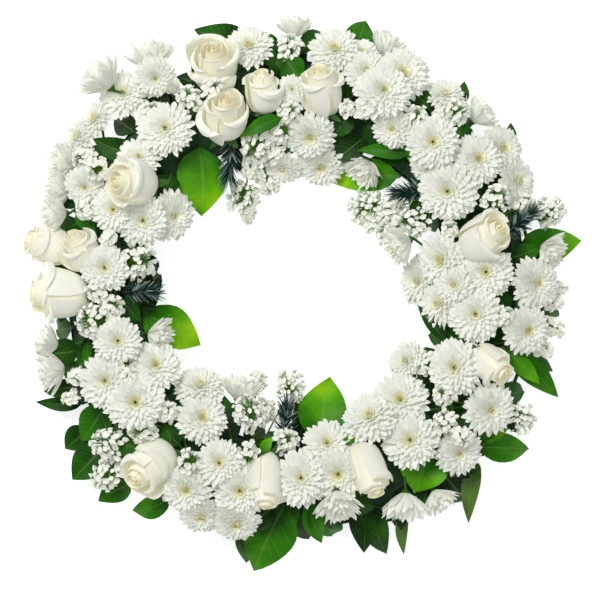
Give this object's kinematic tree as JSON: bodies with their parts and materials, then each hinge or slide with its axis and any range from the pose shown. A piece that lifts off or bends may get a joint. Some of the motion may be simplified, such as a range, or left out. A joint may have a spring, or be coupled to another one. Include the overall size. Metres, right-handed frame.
{
  "type": "funeral wreath",
  "caption": "Round funeral wreath: white roses, spray chrysanthemums and statice with salal leaves and fir sprigs, set in a floral foam ring on a shallow plastic tray.",
  "frame": {"origin": "on the surface that the tray rests on, under the middle of the wreath's outline", "axes": "+Z out of the wreath's face, +Y towards the top of the face, +X to the viewer's right"},
  "size_m": [0.5628, 0.5582, 0.1207],
  "materials": {
    "salal_leaf": "leathery leaf, satin, with a pale midrib",
    "rose_petal": "soft cream petal, warmer towards the heart",
    "chrysanthemum_petal": "matte white petal, yellow-green towards the heart",
    "statice_floret": "papery white floret in a green calyx",
    "fir_needle": "dark blue-green needle with a silvery underside",
    "floral_foam": "wet open-celled phenolic foam",
    "tray_plastic": "moulded dark green plastic"
  },
  "bodies": {
    "root": {"salal_stem_01": "salal_leaf", "salal_stem_02": "salal_leaf", "salal_stem_03": "salal_leaf", "salal_stem_04": "salal_leaf", "salal_stem_05": "salal_leaf", "salal_stem_06": "salal_leaf", "salal_stem_07": "salal_leaf", "salal_stem_08": "salal_leaf", "salal_stem_09": "salal_leaf", "salal_stem_10": "salal_leaf", "salal_stem_11": "salal_leaf", "salal_stem_12": "salal_leaf", "salal_stem_13": "salal_leaf", "rose_01": "rose_petal", "rose_02": "rose_petal", "rose_03": "rose_petal", "rose_04": "rose_petal", "rose_05": "rose_petal", "rose_06": "rose_petal", "rose_07": "rose_petal", "rose_08": "rose_petal", "rose_09": "rose_petal", "rose_10": "rose_petal", "rose_11": "rose_petal", "rose_12": "rose_petal", "rose_13": "rose_petal", "chrysanthemum_spray_01": "chrysanthemum_petal", "chrysanthemum_spray_02": "chrysanthemum_petal", "chrysanthemum_spray_03": "chrysanthemum_petal", "chrysanthemum_spray_04": "chrysanthemum_petal", "chrysanthemum_spray_05": "chrysanthemum_petal", "chrysanthemum_spray_06": "chrysanthemum_petal", "chrysanthemum_spray_07": "chrysanthemum_petal", "chrysanthemum_spray_08": "chrysanthemum_petal", "chrysanthemum_spray_09": "chrysanthemum_petal", "chrysanthemum_spray_10": "chrysanthemum_petal", "chrysanthemum_spray_11": "chrysanthemum_petal", "chrysanthemum_spray_12": "chrysanthemum_petal", "chrysanthemum_spray_13": "chrysanthemum_petal", "chrysanthemum_spray_14": "chrysanthemum_petal", "statice_spray_01": "statice_floret", "statice_spray_02": "statice_floret", "statice_spray_03": "statice_floret", "statice_spray_04": "statice_floret", "statice_spray_05": "statice_floret", "statice_spray_06": "statice_floret", "statice_spray_07": "statice_floret", "statice_spray_08": "statice_floret", "statice_spray_09": "statice_floret", "statice_spray_10": "statice_floret", "statice_spray_11": "statice_floret", "statice_spray_12": "statice_floret", "statice_spray_13": "statice_floret", "fir_sprig_01": "fir_needle", "fir_sprig_02": "fir_needle", "fir_sprig_03": "fir_needle", "fir_sprig_04": "fir_needle", "fir_sprig_05": "fir_needle", "foam_ring": "floral_foam", "tray": "tray_plastic"}
  },
  "joints": []
}
